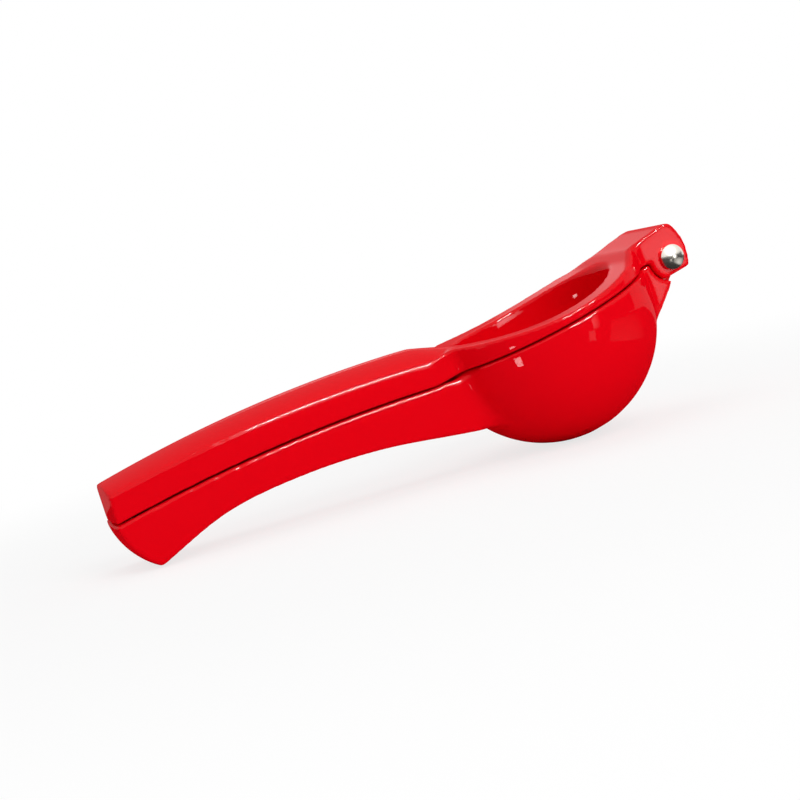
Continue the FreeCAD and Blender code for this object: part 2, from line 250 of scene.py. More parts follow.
def soften(piece, name, weightAt):
    # More smoothing where weightAt says so, for the castings' larger fillets.
    group = piece.vertex_groups.new(name=name)
    for vertex in piece.data.vertices:
        weight = weightAt(vertex.co)
        if weight > 0.01:
            group.add([vertex.index], weight, "REPLACE")
    step = piece.modifiers.new(name, "SMOOTH")
    step.factor = 0.5
    step.iterations = softening[name]
    step.vertex_group = name
    pickOnly(piece)
    bpy.ops.object.modifier_apply(modifier=step.name)
    piece.vertex_groups.clear()


def fade(distance, near, far):
    # 1 up to near, 0 from far on, with a soft step between.
    t = min(max((far - distance) / (far - near), 0.0), 1.0)
    return t * t * (3 - 2 * t)


def standUp(piece):
    # From the bowl's own millimetres to the frame's metres.
    reach = math.hypot(hinge["out"], hinge["up"])
    lift = math.asin((hingePlace.z - bowl["radius"]) / reach)
    pitch = lift - math.atan2(hinge["up"], hinge["out"])
    shift = Vector((hingePlace.x - reach * math.cos(lift), 0, bowl["radius"]))
    piece.matrix_world = (Matrix.Scale(0.001, 4) @ Matrix.Translation(shift)
                          @ Matrix.Rotation(-pitch, 4, "Y"))
    pickOnly(piece)
    bpy.ops.object.transform_apply(location=True, rotation=True, scale=True)
    bpy.ops.object.shade_smooth()


flange = {
    "radius": 37.6,
    "bottom": bowl["rimHeight"] + bowl["seamGap"],
    "thickness": 2.9,           # at its thinnest, beside the cup
    "rise": (3.3, 2.5),         # its top rises towards the neck and towards the hinge
    "lowestOut": 2.0,           # its thinnest place, from the centre towards the hinge
    "cupRadius": 27.7,
    "cupWall": 2.5,
    "cupUp": 1.0,
    "neckBlend": 5.0,           # upright fillets beside the neck
    "hoodBlend": 4.5,           # and beside the hinge
    "rampLength": 15.0,
    "rampCrown": 0.5,           # arch that is left of the handle's top at the cup's edge
    "stockTop": 30,             # drawn up to here, then cut by the lid
    "hoodTop": 12.4,            # over the hinge axis
    "hoodSlope": 1.3,           # how much lower its top begins, towards the cup
    "hoodFront": 34.3,
    "hoodBack": 5.8,            # behind the hinge axis
    "backBulge": 0.8,
    "earBelow": 5.5,
    "lowCorner": 2.8,
    "topCorner": 3.2,
}


def flangeTop(x):
    lowest = flange["bottom"] + flange["thickness"]
    xs = (-flange["cupRadius"], flange["lowestOut"], flange["cupRadius"])
    return circleHeight(x, xs, (lowest + flange["rise"][0], lowest, lowest + flange["rise"][1]))


earLow = hinge["up"] - flange["earBelow"]
earBack = hinge["out"] + flange["hoodBack"]


def addBlend(name, way, y, size):
    # The upright fillets where straight sides at y and -y meet the round flange. Way is -1
    # towards the neck and 1 towards the hinge.
    reach = flange["radius"] + size
    outY = y + size
    outX = math.sqrt(reach ** 2 - outY ** 2)
    touchY = outY * flange["radius"] / reach
    low, high = (-outX, -outX + size) if way < 0 else (outX - size, outX)
    blocks = []
    for side in (-1, 1):
        y1, y2 = sorted((side * (y - 1), side * touchY))
        block = addBox(name, (low, y1, earLow), (high, y2, flange["stockTop"]))
        tool = addDrum(name + "Tool", size, earLow - 5, flange["stockTop"] + 10, way * outX,
                       side * outY, 160)
        blocks.append(combine(block, "DIFFERENCE", tool))
    return blocks


def flangeStock(name):
    top = flange["stockTop"]
    stock = addDrum(name, flange["radius"], earLow, top)
    neck = addBox("neck", (-handle["neckOut"], -handle["halfWidth"], earLow),
                  (0, handle["halfWidth"], top))
    block = addBox("block", (0, -hinge["halfWidth"], earLow),
                   (earBack + flange["backBulge"], hinge["halfWidth"], top))
    combine(stock, "UNION", neck, block)
    combine(stock, "UNION", *addBlend("neckBlend", -1, handle["halfWidth"], flange["neckBlend"]))
    combine(stock, "UNION", *addBlend("hoodBlend", 1, hinge["halfWidth"], flange["hoodBlend"]))
    return combine(stock, "DIFFERENCE", flangeLid())


def flangeLid():
    # Everything above the flange: a shallow saddle, the slope up to the hood and the hood's top,
    # which still rises a little as far as the hinge axis.
    xs = spread(-flange["radius"] + flange["neckBlend"] / 2, flange["cupRadius"], 40)
    heights = [(x, flangeTop(x)) for x in xs]
    first = (-handle["neckOut"] - flange["neckBlend"], alongHandle(0, handle["edge"]))
    last = [(flange["hoodFront"], flange["hoodTop"] - flange["hoodSlope"]),
            (hinge["out"], flange["hoodTop"]), (hinge["out"] + 20, flange["hoodTop"])]
    stations = [(x, z, beyond, beyond) for x, z in [first] + heights + last]
    return addBar("lid", beyond, stations, smooth=False)


def earOutline():
    # A wide bar with the ears' side outline: the round over the seat, the square back with its
    # rounded corners and the slightly bulged back edge.
    top = flange["hoodTop"]
    wide = 18
    lowRound, topRound = flange["lowCorner"], flange["topCorner"]
    bar = addRod("ears", hinge["seatRadius"], -wide, wide)
    combine(bar, "DIFFERENCE", addBox("earTrim", (0, -across, -30), (90, across, earLow)))
    start = hinge["out"] - hinge["seatRadius"]
    above = addBox("above", (start, -wide, flange["bottom"]), (earBack - topRound, wide, top))
    below = addBox("below", (hinge["out"], -wide, earLow), (earBack - lowRound, wide, top - topRound))
    behind = addBox("behind", (hinge["out"], -wide, earLow + lowRound),
                    (earBack + 2, wide, top - topRound))
    combine(bar, "UNION", above, below, behind)
    for size, z in ((lowRound, earLow + lowRound), (topRound, top - topRound)):
        combine(bar, "UNION", addRod("corner", size, -wide, wide, place=(earBack - size, z)))
    middle = (earLow + lowRound + top - topRound) / 2
    half = (top - topRound - earLow - lowRound) / 2
    bulge = flange["backBulge"]
    radius = (half ** 2 + bulge ** 2) / (2 * bulge)
    keep = addRod("earBack", radius, -40, 40, sides=512, place=(earBack + bulge - radius, middle))
    return combine(bar, "INTERSECT", keep)


def tongueSlot():
    # Room between the ears for the lower lever's tongue.
    reach = hinge["tongueRadius"] + hinge["gap"]
    half = hinge["tongueHalfWidth"] + hinge["gap"]
    slot = addRod("slot", reach, -half, half)
    x, z = hinge["out"], hinge["up"]
    behind = addBox("slotBehind", (x, -half, -beyond), (x + beyond, half, z + reach))
    below = addBox("slotBelow", (x - reach, -half, -beyond), (x + 1, half, z))
    under = addBox("slotUnder", (x - hinge["seatRadius"] - hinge["gap"], -half, -beyond),
                   (x + 2, half, flange["bottom"]))
    return combine(slot, "UNION", behind, below, under)


def handleBar(name, start, end, drop, halfWidth, low=None):
    # Part of the upper handle, with its top lowered by drop. It starts at the seam unless low is given.
    stations = []
    for x in spread(start, end, 24):
        bottom = low if low is not None else alongHandle(x, handle["seam"]) + bowl["seamGap"] / 2
        stations.append((x, bottom, alongHandle(x, handle["edge"]) - drop,
                         alongHandle(x, handle["crest"]) - drop))
    return addBar(name, halfWidth, stations, strips=16)


def neckRamp():
    # The slope from the handle's crest down to the cup's edge.
    start, end = -handle["neckOut"], flange["rampLength"] - handle["neckOut"]
    first = (start, flange["bottom"], alongHandle(start, handle["edge"]),
             alongHandle(start, handle["crest"]))
    rim = flangeTop(end)
    last = (end, flange["bottom"], rim - flange["rampCrown"], rim)
    return addBar("ramp", handle["halfWidth"], [first, last], strips=48, smooth=False)


def endCutter(name, top, foot, belly):
    # Everything beyond an end face that is rounded out in plan and, by its belly, in height.
    run = (top - foot).normalized()
    out = Vector((-run.z, 0, run.x))
    lean = math.atan2(run.x, run.z)
    middle = (top + foot) / 2
    if belly:
        half = (top - foot).length / 2
        small = (half ** 2 + belly ** 2) / (2 * belly)
        centre = middle + out * (belly - handle["planRadius"])
        bpy.ops.object.select_all(action="DESELECT")
        bpy.ops.mesh.primitive_torus_add(major_segments=720, minor_segments=128,
                                         major_radius=handle["planRadius"] - small,
                                         minor_radius=small, location=centre, rotation=(0, lean, 0))
        keep = settle(name + "Belly")
        bpy.ops.mesh.primitive_cylinder_add(vertices=256, radius=handle["planRadius"] - small,
                                            depth=1.9 * small, location=centre, rotation=(0, lean, 0))
        combine(keep, "UNION", settle(name + "Core"))
    else:
        centre = middle - out * handle["planRadius"]
        bpy.ops.object.select_all(action="DESELECT")
        bpy.ops.mesh.primitive_cylinder_add(vertices=720, radius=handle["planRadius"], depth=80,
                                            location=centre, rotation=(0, lean, 0))
        keep = settle(name + "Keep")
    low, high = (top.x - 20, -20, foot.z - 12), (top.x + 8, 20, foot.z + 25)
    cutter = addBox(name, low, high)
    return combine(cutter, "DIFFERENCE", keep)


def upperLever():
    lever = flangeStock("upperCasting")
    tail = combine(flangeStock("tail"), "INTERSECT", earOutline())
    # The flange ends just past the tail's start, so that the two overlap.
    end = hinge["out"] - hinge["seatRadius"] + 0.5
    lowTrim = addBox("lowTrim", (-beyond, -beyond, -10), (beyond, beyond, flange["bottom"]))
    tailTrim = addBox("tailTrim", (end, -across, 0), (70, across, 40))
    combine(lever, "DIFFERENCE", lowTrim, tailTrim)
    outside = flange["cupRadius"] + flange["cupWall"]
    cupTop = flange["bottom"] + 1
    cup = addBall("cup", outside, flange["cupUp"])
    lid = addBox("cupLid", (-beyond, -beyond, cupTop), (beyond, beyond, beyond))
    column = addDrum("cupColumn", outside, flange["cupUp"], cupTop)
    combine(cup, "DIFFERENCE", lid)
    combine(cup, "UNION", column)
    grip = handleBar("grip", -handle["neckOut"], -handle["upperReach"] - handle["spare"], 0,
                     handle["halfWidth"])
    foot = Vector((-handle["upperReach"], 0, alongHandle(-handle["upperReach"], handle["seam"])))
    slope = math.tan(math.radians(handle["upperEndSlope"]))
    combine(grip, "DIFFERENCE", endCutter("upperEnd", foot + Vector((slope, 0, 1)) * 5, foot, 0))
    combine(lever, "UNION", cup, tail, neckRamp(), grip)
    channel = handleBar("channel", -handle["neckOut"], handle["endWall"] - handle["upperReach"],
                        handle["wall"], handle["halfWidth"] - handle["wall"], low=-40)
    hollow = addBall("cupHollow", flange["cupRadius"], flange["cupUp"])
    combine(hollow, "UNION", addDrum("cupMouth", flange["cupRadius"], flange["cupUp"], beyond))
    combine(lever, "DIFFERENCE", channel, hollow, tongueSlot())
    return combine(lever, "DIFFERENCE", addRod("rivetHole", hinge["boreRadius"], -across, across))


sole = {
    "heights": (-14.0, -5.1, 0.5, 2.5, -1.8),   # underside of the lower handle, neck to foot
    "root": 24.0,           # where the handle begins, inside the bowl's outside
    "footTuck": 6.2,        # how far its foot sits back from its top
    "belly": 2.0,           # how far its end face is rounded out
    "lip": 0.3,             # how far it stands out under the upper handle
    "stop": 1.0,            # metal between its channel and the bowl
}

shoulder = {
    # All angles are in degrees below level.
    "halfWidth": 13.7,
    "backAngle": 112.0,     # where the seat for the ears ends
    "noseDepth": 1.5,       # blunt face between the seat and the shoulder's back
    "noseAngle": 114.4,
    "slope": 38.5,          # of the shoulder's back
    "tongueLean": 50.0,     # where the tongue's back leaves its round
}


def soleHeight(x):
    # A smooth line through the five heights, straight beyond them.
    xs = spread(-handle["neckOut"], sole["footTuck"] - handle["lowerReach"], 5)
    zs = sole["heights"]
    step = xs[1] - xs[0]
    slopes = [(zs[min(i + 1, 4)] - zs[max(i - 1, 0)]) / (min(i + 1, 4) - max(i - 1, 0)) for i in range(5)]
    t = (x - xs[0]) / step
    if t <= 0:
        return zs[0] + slopes[0] * t
    if t >= 4:
        return zs[4] + slopes[4] * (t - 4)
    i = int(t)
    u = t - i
    return ((2 * u ** 3 - 3 * u ** 2 + 1) * zs[i] + (u ** 3 - 2 * u ** 2 + u) * slopes[i]
            + (3 * u ** 2 - 2 * u ** 3) * zs[i + 1] + (u ** 3 - u ** 2) * slopes[i + 1])


def aroundHinge(radius, degrees):
    angle = math.radians(degrees)
    return Vector((hinge["out"] + radius * math.cos(angle), 0, hinge["up"] + radius * math.sin(angle)))


def trimAlong(piece, start, end):
    # Seen from -Y, what lies to the left of the way from start to end is cut off.
    pickOnly(piece)
    bpy.ops.object.mode_set(mode="EDIT")
    bpy.ops.mesh.select_all(action="SELECT")
    normal = (start.z - end.z, 0, end.x - start.x)
    bpy.ops.mesh.bisect(plane_co=start, plane_no=normal, use_fill=True, clear_outer=True)
    bpy.ops.object.mode_set(mode="OBJECT")


def lowerLever():
    top = bowl["rimHeight"]
    lever = addBall("lowerCasting", bowl["radius"])
    band = addDrum("band", bowl["radius"], 0, top)
    above = addBox("aboveRim", (-beyond, -beyond, 0), (beyond, beyond, beyond))
    combine(lever, "DIFFERENCE", above)
    combine(lever, "UNION", band)

    half = handle["halfWidth"] + sole["lip"]
    end = -handle["lowerReach"] - handle["spare"]
    stations = []
    for x in spread(-sole["root"], end, 32):
        seam = alongHandle(x, handle["seam"]) - bowl["seamGap"] / 2
        stations.append((x, soleHeight(x), seam, seam))
    grip = addBar("lowerGrip", half, stations)
    foot = Vector((sole["footTuck"] - handle["lowerReach"], 0, sole["heights"][-1]))
    tip = Vector((-handle["lowerReach"], 0, alongHandle(-handle["lowerReach"], handle["seam"])))
    combine(grip, "DIFFERENCE", endCutter("lowerEnd", tip, foot, sole["belly"]))

    seat = hinge["seatRadius"] + hinge["gap"]
    corner = aroundHinge(seat, -shoulder["backAngle"])
    nose = aroundHinge(seat + shoulder["noseDepth"], -shoulder["noseAngle"])
    slope = math.radians(shoulder["slope"])
    wide = shoulder["halfWidth"]
    block = addBox("shoulder", (flange["cupRadius"], -wide, -40), (corner.x, wide, top))
    trimAlong(block, corner, nose)
    trimAlong(block, nose, nose - Vector((math.cos(slope), 0, math.sin(slope))))
    combine(lever, "UNION", grip, block)
    combine(lever, "DIFFERENCE", addRod("seat", seat, -across, across))

    lean = math.radians(shoulder["tongueLean"])
    back = aroundHinge(hinge["tongueRadius"], -shoulder["tongueLean"])
    thin = hinge["tongueHalfWidth"]
    tongue = addRod("tongue", hinge["tongueRadius"], -thin, thin)
    rib = addBox("rib", (flange["cupRadius"], -thin, -40), (beyond, thin, top))
    reach = math.sqrt(hinge["tongueRadius"] ** 2 - (top - hinge["up"]) ** 2)
    front = Vector((hinge["out"] - reach, 0, top))
    axis = Vector((hinge["out"], 0, hinge["up"]))
    trimAlong(rib, front, axis)
    trimAlong(rib, axis, back)
    trimAlong(rib, back, back - Vector((math.sin(lean), 0, math.cos(lean))))
    combine(tongue, "UNION", rib)
    combine(lever, "UNION", tongue)

    hollow = addBall("bowlHollow", bowl["radius"] - bowl["wall"])
    mouth = addDrum("bowlMouth", bowl["radius"] - bowl["wall"], 0, beyond)
    combine(hollow, "UNION", mouth)
    stations = []
    channelEnd = handle["endWall"] - handle["lowerReach"] + sole["footTuck"] / 2
    for x in spread(-sole["root"], channelEnd, 32):
        stations.append((x, soleHeight(x) + handle["wall"], 40, 40))
    channel = addBar("lowerChannel", half - handle["wall"], stations)
    combine(channel, "DIFFERENCE", addBall("channelStop", bowl["radius"] + sole["stop"]))
    combine(lever, "DIFFERENCE", hollow, channel)
    for ring, count, first in bowl["holeRings"]:
        for i in range(count):
            angle = math.radians(first + 360 * i / count)
            hole = addDrum("juiceHole", bowl["holeRadius"], -beyond, 0, ring * math.cos(angle),
                           ring * math.sin(angle), 64)
            combine(lever, "DIFFERENCE", hole)
    bore = addRod("bore", hinge["boreRadius"] + hinge["boreRoom"], -across, across)
    combine(lever, "DIFFERENCE", bore)
    return lever


rivet = {
    "headRadius": 4.1,
    "headHeight": 2.7,
    "headEdge": 1.2,        # straight edge under the dome
    "edgeRound": 0.28,
    "spigotRadius": 1.5,
    "spigotLength": 1.3,
    "rootDepth": 1,         # how far the spigot and its socket start inside the ear
}


def domedHead(name, side):
    # A low dome with a short straight edge; its flat face lies on the ear.
    rise = rivet["headHeight"] - rivet["headEdge"]
    radius = (rivet["headRadius"] ** 2 + rise ** 2) / (2 * rise)
    face = side * hinge["halfWidth"]
    bpy.ops.object.select_all(action="DESELECT")
    top = face + side * (rivet["headHeight"] - radius)
    bpy.ops.mesh.primitive_uv_sphere_add(segments=192, ring_count=96, radius=radius,
                                         location=(hinge["out"], top, hinge["up"]),
                                         rotation=(math.pi / 2, 0, 0))
    head = settle(name)
    start, end = sorted((face, face + side * (rivet["headHeight"] + 1)))
    combine(head, "INTERSECT", addRod("headEdge", rivet["headRadius"], start, end, 192))
    step = head.modifiers.new("edge", "BEVEL")
    step.width = rivet["edgeRound"]
    step.segments = 4
    step.limit_method = "ANGLE"
    step.angle_limit = math.radians(20)
    pickOnly(head)
    bpy.ops.object.modifier_apply(modifier=step.name)
    return head


def addRivet():
    head = domedHead("rivetHead", -1)
    half = hinge["halfWidth"]
    shank = addRod("shank", hinge["boreRadius"], -half - 0.2, half)
    spigot = addRod("spigot", rivet["spigotRadius"], half - rivet["rootDepth"],
                    half + rivet["spigotLength"], 96)
    return combine(head, "UNION", shank, spigot)


def addCap():
    cap = domedHead("rivetCapHead", 1)
    half = hinge["halfWidth"]
    socket = addRod("socket", rivet["spigotRadius"], half - rivet["rootDepth"],
                    half + rivet["spigotLength"], 96)
    return combine(cap, "DIFFERENCE", socket)


def creaseWeight(co):
    # Where the lower handle's sides and sole run into the bowl.
    if co.x > -20:
        return 0
    away = math.sqrt(co.x ** 2 + co.y ** 2 + co.z ** 2) - bowl["radius"]
    if away < -1.5:
        return 0
    side = abs(abs(co.y) - handle["halfWidth"] - sole["lip"])
    under = abs(co.z - soleHeight(co.x))
    inside = abs(co.y) < handle["halfWidth"] + 6 and co.z > soleHeight(co.x) - 2
    near = min(side, under) if inside else 9
    return fade(abs(away), 1.5, 7.0) * fade(near, 2.0, 7.0)


def shoulderWeight(co):
    # Where the shoulder runs into the bowl.
    if co.x < 20:
        return 0
    away = math.sqrt(co.x ** 2 + co.y ** 2 + co.z ** 2) - bowl["radius"]
    side = abs(abs(co.y) - shoulder["halfWidth"])
    return fade(abs(away), 0.6, 2.5) * fade(side, 1.0, 3.0) if co.z < 2 else 0


def browWeight(co):
    # The two bends between the saddle and the hood's top.
    if co.z < flange["hoodTop"] - 5 or co.x < 20:
        return 0
    brow = math.hypot(co.x - flange["hoodFront"], co.z - flange["hoodTop"] + flange["hoodSlope"])
    foot = math.hypot(co.x - flange["cupRadius"] - 1, co.z - flangeTop(flange["cupRadius"]))
    return fade(min(brow, foot), 1.5, 5.0)


def rampWeight(co):
    # The bends at both ends of the slope from the handle's crest to the cup's edge.
    top = alongHandle(-handle["neckOut"], handle["edge"])
    if co.z < flange["bottom"] + 2 or co.z < top - 4 and co.x < -36:
        return 0
    start, end = -handle["neckOut"], flange["rampLength"] - handle["neckOut"]
    return max(fade(abs(co.x - start), 1.0, 4.5), fade(abs(co.x - end), 0.5, 2.5))


def topEdgeWeight(co):
    # The long top edges of the upper handle, rounder than the rest.
    if co.x > 2 - handle["neckOut"]:
        return 0
    side = abs(co.y) - handle["halfWidth"]
    return fade(math.hypot(side, co.z - alongHandle(co.x, handle["edge"])), 1.2, 3.2)


# Millimetres between the points of the castings' skin.
voxel = 0.56

print("modelling the upper lever")
upper = upperLever()
weld(upper, voxel)
soften(upper, "brow", browWeight)
soften(upper, "ramp", rampWeight)
soften(upper, "topEdge", topEdgeWeight)
standUp(upper)
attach(upper, "upper")
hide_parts("upper_lever")

print("modelling the lower lever")
lower = lowerLever()
weld(lower, voxel)
soften(lower, "handleCrease", creaseWeight)
soften(lower, "shoulderCrease", shoulderWeight)
standUp(lower)
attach(lower, "lower")
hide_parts("lower_lever")

print("modelling the rivet")
pin = addRivet()
cap = addCap()
for piece, node in ((pin, "hinge_rivet"), (cap, "rivet_cap")):
    standUp(piece)
    bpy.ops.object.shade_smooth_by_angle(angle=math.radians(30))
    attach(piece, "upper")
    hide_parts(node)
for piece in (upper, lower, pin, cap):
    print(piece.name, len(piece.data.polygons))


def addGrain():
    # Soft clouds for the colour, a finer mottle for the gloss and the finest one for the relief.
    group = bpy.data.node_groups.new("surfaceGrain", "ShaderNodeTree")
    face = group.interface
    for name, value in (("Cloud Scale", 30.0), ("Mottle Scale", 300.0), ("Relief Scale", 900.0),
                        ("Cloud Share", 0.1), ("Rough Low", 0.05), ("Rough High", 0.1)):
        face.new_socket(name=name, in_out="INPUT", socket_type="NodeSocketFloat").default_value = value
    for name in ("Light", "Deep"):
        face.new_socket(name=name, in_out="INPUT", socket_type="NodeSocketColor")
    face.new_socket(name="Color", in_out="OUTPUT", socket_type="NodeSocketColor")
    face.new_socket(name="Roughness", in_out="OUTPUT", socket_type="NodeSocketFloat")
    face.new_socket(name="Height", in_out="OUTPUT", socket_type="NodeSocketFloat")
    nodes, links = group.nodes, group.links
    given, out = nodes.new("NodeGroupInput"), nodes.new("NodeGroupOutput")
    where = nodes.new("ShaderNodeTexCoord")
    noises = {}
    for name, detail in (("Cloud", 3.0), ("Mottle", 4.0), ("Relief", 2.0)):
        noise = nodes.new("ShaderNodeTexNoise")
        noise.inputs["Detail"].default_value = detail
        links.new(where.outputs["Object"], noise.inputs["Vector"])
        links.new(given.outputs[name + " Scale"], noise.inputs["Scale"])
        noises[name] = noise
    share = nodes.new("ShaderNodeMath")
    share.operation = "MULTIPLY"
    links.new(noises["Cloud"].outputs["Fac"], share.inputs[0])
    links.new(given.outputs["Cloud Share"], share.inputs[1])
    colour = nodes.new("ShaderNodeMix")
    colour.data_type = "RGBA"
    links.new(share.outputs[0], colour.inputs["Factor"])
    links.new(given.outputs["Light"], colour.inputs["A"])
    links.new(given.outputs["Deep"], colour.inputs["B"])
    links.new(colour.outputs["Result"], out.inputs["Color"])
    rough = nodes.new("ShaderNodeMapRange")
    rough.inputs["From Min"].default_value = 0.3
    rough.inputs["From Max"].default_value = 0.7
    links.new(noises["Mottle"].outputs["Fac"], rough.inputs["Value"])
    links.new(given.outputs["Rough Low"], rough.inputs["To Min"])
    links.new(given.outputs["Rough High"], rough.inputs["To Max"])
    links.new(rough.outputs["Result"], out.inputs["Roughness"])
    links.new(noises["Relief"].outputs["Fac"], out.inputs["Height"])
    return group


grain = addGrain()


def grainMaterial(name, values, look):
    material = bpy.data.materials.new(name)
    material.use_nodes = True
    nodes, links = material.node_tree.nodes, material.node_tree.links
    shader = nodes["Principled BSDF"]
    surface = nodes.new("ShaderNodeGroup")
    surface.node_tree = grain
    for key, value in values.items():
        surface.inputs[key].default_value = value
    surface.inputs["Light"].default_value = (*look["light"], 1)
    surface.inputs["Deep"].default_value = (*look["deep"], 1)
    bump = nodes.new("ShaderNodeBump")
    bump.inputs["Strength"].default_value = look["relief"]
    bump.inputs["Distance"].default_value = look["reliefDepth"]
    if "coatShare" in look:
        # A clear coat that thins out towards the edges, where it would whiten the colour.
        facing = nodes.new("ShaderNodeLayerWeight")
        facing.inputs["Blend"].default_value = 0.5
        face = nodes.new("ShaderNodeMath")
        face.operation = "SUBTRACT"
        face.inputs[0].default_value = 1.0
        links.new(facing.outputs["Facing"], face.inputs[1])
        curve = nodes.new("ShaderNodeMath")
        curve.operation = "POWER"
        curve.inputs[1].default_value = look["coatPower"]
        links.new(face.outputs[0], curve.inputs[0])
        share = nodes.new("ShaderNodeMath")
        share.operation = "MULTIPLY"
        share.inputs[1].default_value = look["coatShare"]
        links.new(curve.outputs[0], share.inputs[0])
        links.new(share.outputs[0], shader.inputs["Coat Weight"])
    links.new(surface.outputs["Color"], shader.inputs["Base Color"])
    links.new(surface.outputs["Roughness"], shader.inputs["Roughness"])
    links.new(surface.outputs["Height"], bump.inputs["Height"])
    links.new(bump.outputs["Normal"], shader.inputs["Normal"])
    return material, shader


enamelGrain = {
    "Cloud Scale": 22.0,
    "Mottle Scale": 260.0,
    "Relief Scale": 420.0,
    "Cloud Share": 0.12,
    "Rough Low": 0.035,
    "Rough High": 0.07,
}
enamelLook = {
    "light": (0.81, 0.0008, 0.0065),
    "deep": (0.61, 0.0006, 0.0065),
    "relief": 0.25,
    "reliefDepth": 0.00005,
    "coatShare": 0.33,          # the coat's weight where it is seen straight on
    "coatPower": 0.65,
}
enamel, enamelShader = grainMaterial("redEnamel", enamelGrain, enamelLook)
enamelShader.inputs["Specular IOR Level"].default_value = 0.0
enamelShader.inputs["Coat Roughness"].default_value = 0.035

steelGrain = {
    "Cloud Scale": 180.0,
    "Mottle Scale": 900.0,
    "Relief Scale": 1500.0,
    "Cloud Share": 0.3,
    "Rough Low": 0.2,
    "Rough High": 0.23,
}
steelLook = {
    "light": (0.82, 0.78, 0.70),
    "deep": (0.66, 0.61, 0.53),
    "relief": 0.04,
    "reliefDepth": 0.00001,
}
steel, steelShader = grainMaterial("rivetSteel", steelGrain, steelLook)
steelShader.inputs["Metallic"].default_value = 1.0

for piece, material in ((upper, enamel), (lower, enamel), (pin, steel), (cap, steel)):
    piece.data.materials.clear()
    piece.data.materials.append(material)


view = {
    "place": (-0.14629, -0.49206, 0.07475),
    "aim": (-0.00219, 0.00043, 0.02779),
    "roll": -14.264,
    "lens": 72.0,
    "sensor": 36,
}


def addCamera():
    data = bpy.data.cameras.new("camera")
    data.lens = view["lens"]
    data.sensor_width = view["sensor"]
    camera = bpy.data.objects.new("camera", data)
    bpy.context.scene.collection.objects.link(camera)
    place, aim = Vector(view["place"]), Vector(view["aim"])
    camera.location = place
    turn = (aim - place).to_track_quat("-Z", "Y") @ Quaternion((0, 0, 1), math.radians(view["roll"]))
    camera.rotation_mode = "QUATERNION"
    camera.rotation_quaternion = turn
    bpy.context.scene.camera = camera


def pathMask(nodes, links):
    # 1 for camera, glossy and transmission rays, so that metal shows the background too.
    path = nodes.new("ShaderNodeLightPath")
    mask = path.outputs["Is Camera Ray"]
    for name in ("Is Glossy Ray", "Is Transmission Ray"):
        step = nodes.new("ShaderNodeMath")
        step.operation = "MAXIMUM"
        links.new(mask, step.inputs[0])
        links.new(path.outputs[name], step.inputs[1])
        mask = step.outputs[0]
    return mask


def addWorld():
    # White to look at, and a softer light on everything.
    world = bpy.data.worlds.new("studio")
    world.use_nodes = True
    bpy.context.scene.world = world
    nodes, links = world.node_tree.nodes, world.node_tree.links
    mix = nodes.new("ShaderNodeMixShader")
    soft = nodes["Background"]
    soft.inputs["Color"].default_value = (1, 1, 1, 1)
    soft.inputs["Strength"].default_value = stage["ambient"]
    white = nodes.new("ShaderNodeBackground")
    white.inputs["Color"].default_value = (1, 1, 1, 1)
    white.inputs["Strength"].default_value = 1.0
    links.new(pathMask(nodes, links), mix.inputs["Fac"])
    links.new(soft.outputs[0], mix.inputs[1])
    links.new(white.outputs[0], mix.inputs[2])
    links.new(mix.outputs[0], nodes["World Output"].inputs["Surface"])


stage = {
    "ambient": 0.5,
    "floorSize": 12.0,
    "floorDrop": 0.0002,    # under the object, so that the two never share a face
    "paper": 0.9,
    "shadowShare": 0.24,    # of the floor's look that is real light and shadow near the object
    "shadowReach": (0.12, 0.34),    # from the origin, where that share begins to fade and is gone
}

# A dark cloth round the front, from start to end in degrees, and another on the floor.
flagShape = {
    "low": 0.0,
    "high": 0.16,
    "start": -95,
    "end": 100,
    "distance": 0.87,
    "grey": 0.04,
}

matShape = {
    "place": (0.03, -0.36, 0.0002),
    "size": (1.5, 1.02),
}


def addFloor():
    bpy.ops.object.select_all(action="DESELECT")
    bpy.ops.mesh.primitive_plane_add(size=stage["floorSize"], location=(0, 0, -stage["floorDrop"]))
    floor = settle("floor")
    material = bpy.data.materials.new("floorPaper")
    material.use_nodes = True
    nodes, links = material.node_tree.nodes, material.node_tree.links
    shader = nodes["Principled BSDF"]
    shader.inputs["Base Color"].default_value = (stage["paper"], stage["paper"], stage["paper"], 1)
    shader.inputs["Roughness"].default_value = 0.9
    shader.inputs["Specular IOR Level"].default_value = 0.0
    glow = nodes.new("ShaderNodeEmission")
    glow.inputs["Strength"].default_value = 1.0
    where = nodes.new("ShaderNodeTexCoord")
    length = nodes.new("ShaderNodeVectorMath")
    length.operation = "LENGTH"
    links.new(where.outputs["Object"], length.inputs[0])
    share = nodes.new("ShaderNodeMapRange")
    share.interpolation_type = "SMOOTHSTEP"
    share.inputs["From Min"].default_value = stage["shadowReach"][0]
    share.inputs["From Max"].default_value = stage["shadowReach"][1]
    share.inputs["To Min"].default_value = 1 - stage["shadowShare"]
    share.inputs["To Max"].default_value = 1.0
    links.new(length.outputs["Value"], share.inputs["Value"])
    both = nodes.new("ShaderNodeMath")
    both.operation = "MULTIPLY"
    links.new(pathMask(nodes, links), both.inputs[0])
    links.new(share.outputs["Result"], both.inputs[1])
    mix = nodes.new("ShaderNodeMixShader")
    links.new(both.outputs[0], mix.inputs["Fac"])
    links.new(shader.outputs[0], mix.inputs[1])
    links.new(glow.outputs[0], mix.inputs[2])
    links.new(mix.outputs[0], nodes["Material Output"].inputs["Surface"])
    floor.data.materials.append(material)


aimPoint = Vector((0.03, 0, 0.04))


def towards(azimuth, elevation, distance):
    # Azimuth is to the right of -Y and elevation above level, in degrees.
    a, e = math.radians(azimuth), math.radians(elevation)
    way = Vector((math.sin(a) * math.cos(e), -math.cos(a) * math.cos(e), math.sin(e)))
    return aimPoint + distance * way


